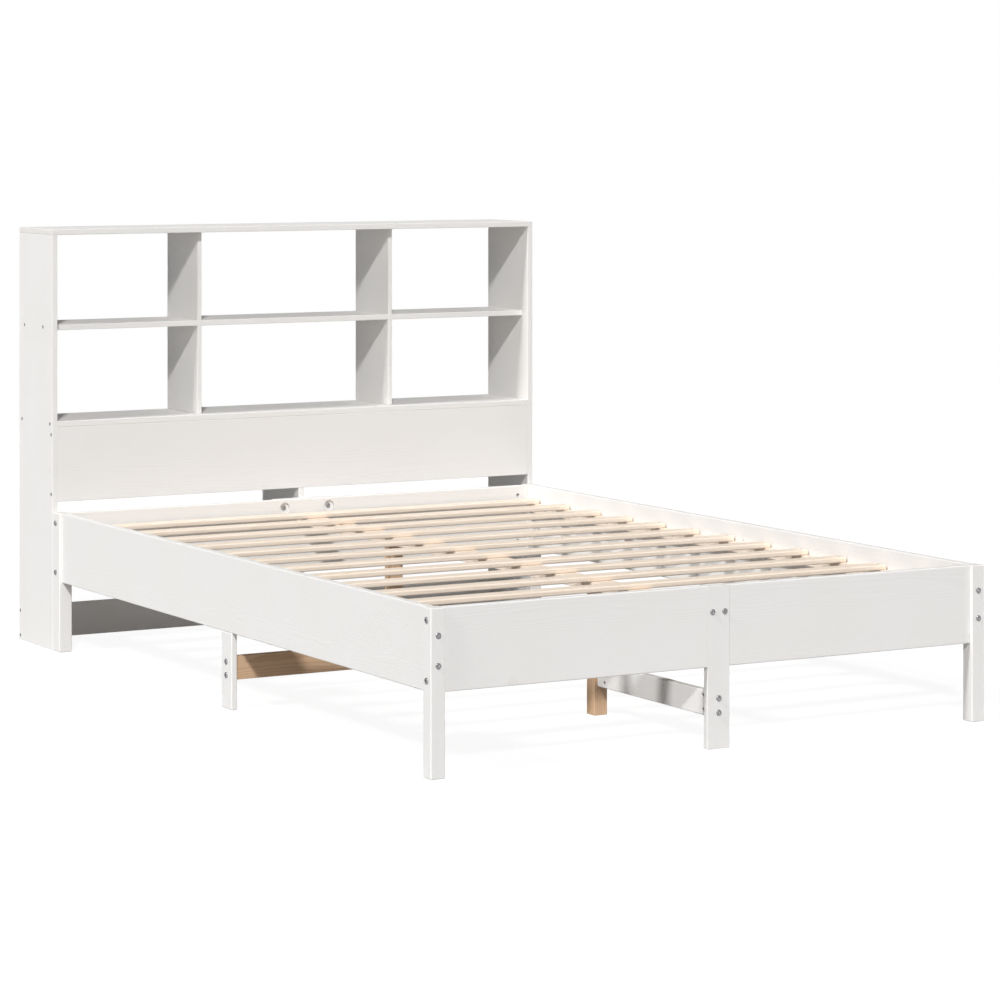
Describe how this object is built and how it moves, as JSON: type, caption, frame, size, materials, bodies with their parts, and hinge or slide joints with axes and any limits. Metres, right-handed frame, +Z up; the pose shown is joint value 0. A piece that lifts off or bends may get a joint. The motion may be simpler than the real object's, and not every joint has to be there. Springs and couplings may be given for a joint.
{
  "type": "bookcase headboard bed",
  "caption": "Double bed in white painted pine with a slatted base on flat legs and an open bookcase with shelves as its headboard.",
  "frame": {"origin": "on the floor at the middle of the plan of the whole bed", "axes": "+X to the right seen from the foot end, +Y from the foot towards the bookcase, +Z up"},
  "size_m": [1.461, 2.301, 1.101],
  "materials": {
    "painted_pine": "white painted pine, low sheen, grain showing faintly through the paint",
    "bare_pine": "planed bare pine, matt",
    "fastener_steel": "zinc plated steel, hexagon sockets"
  },
  "bodies": {
    "root": {"back_board": "painted_pine", "beam_barrel_nuts": "fastener_steel", "beam_bolts": "fastener_steel", "case_dowels": "bare_pine", "case_screws": "fastener_steel", "centre_beam": "bare_pine", "centre_leg_foot": "bare_pine", "centre_leg_head": "bare_pine", "centre_panel": "painted_pine", "cross_stretcher": "bare_pine", "divider_left": "painted_pine", "divider_right": "painted_pine", "foot_post_left": "painted_pine", "foot_post_right": "painted_pine", "foot_stretcher": "painted_pine", "frame_dowels": "bare_pine", "front_panel": "painted_pine", "front_rail": "painted_pine", "head_post_left": "painted_pine", "head_post_right": "painted_pine", "head_rail": "painted_pine", "inner_screws": "fastener_steel", "ledge_screws": "fastener_steel", "leg_screws": "fastener_steel", "lower_shelf": "painted_pine", "mid_leg_front": "painted_pine", "mid_leg_left": "painted_pine", "mid_leg_right": "painted_pine", "middle_shelf_centre": "painted_pine", "middle_shelf_left": "painted_pine", "middle_shelf_right": "painted_pine", "post_barrel_nuts": "fastener_steel", "post_bolts": "fastener_steel", "side_panel_left": "painted_pine", "side_panel_right": "painted_pine", "side_rail_left": "painted_pine", "side_rail_right": "painted_pine", "slat_01": "bare_pine", "slat_02": "bare_pine", "slat_03": "bare_pine", "slat_04": "bare_pine", "slat_05": "bare_pine", "slat_06": "bare_pine", "slat_07": "bare_pine", "slat_08": "bare_pine", "slat_09": "bare_pine", "slat_10": "bare_pine", "slat_11": "bare_pine", "slat_12": "bare_pine", "slat_ledge_left": "bare_pine", "slat_ledge_right": "bare_pine", "slat_screws": "fastener_steel", "stretcher_barrel_nuts": "fastener_steel", "stretcher_bolts": "fastener_steel", "tie_board": "painted_pine", "tie_bolts": "fastener_steel", "top_board": "painted_pine"}
  },
  "joints": []
}
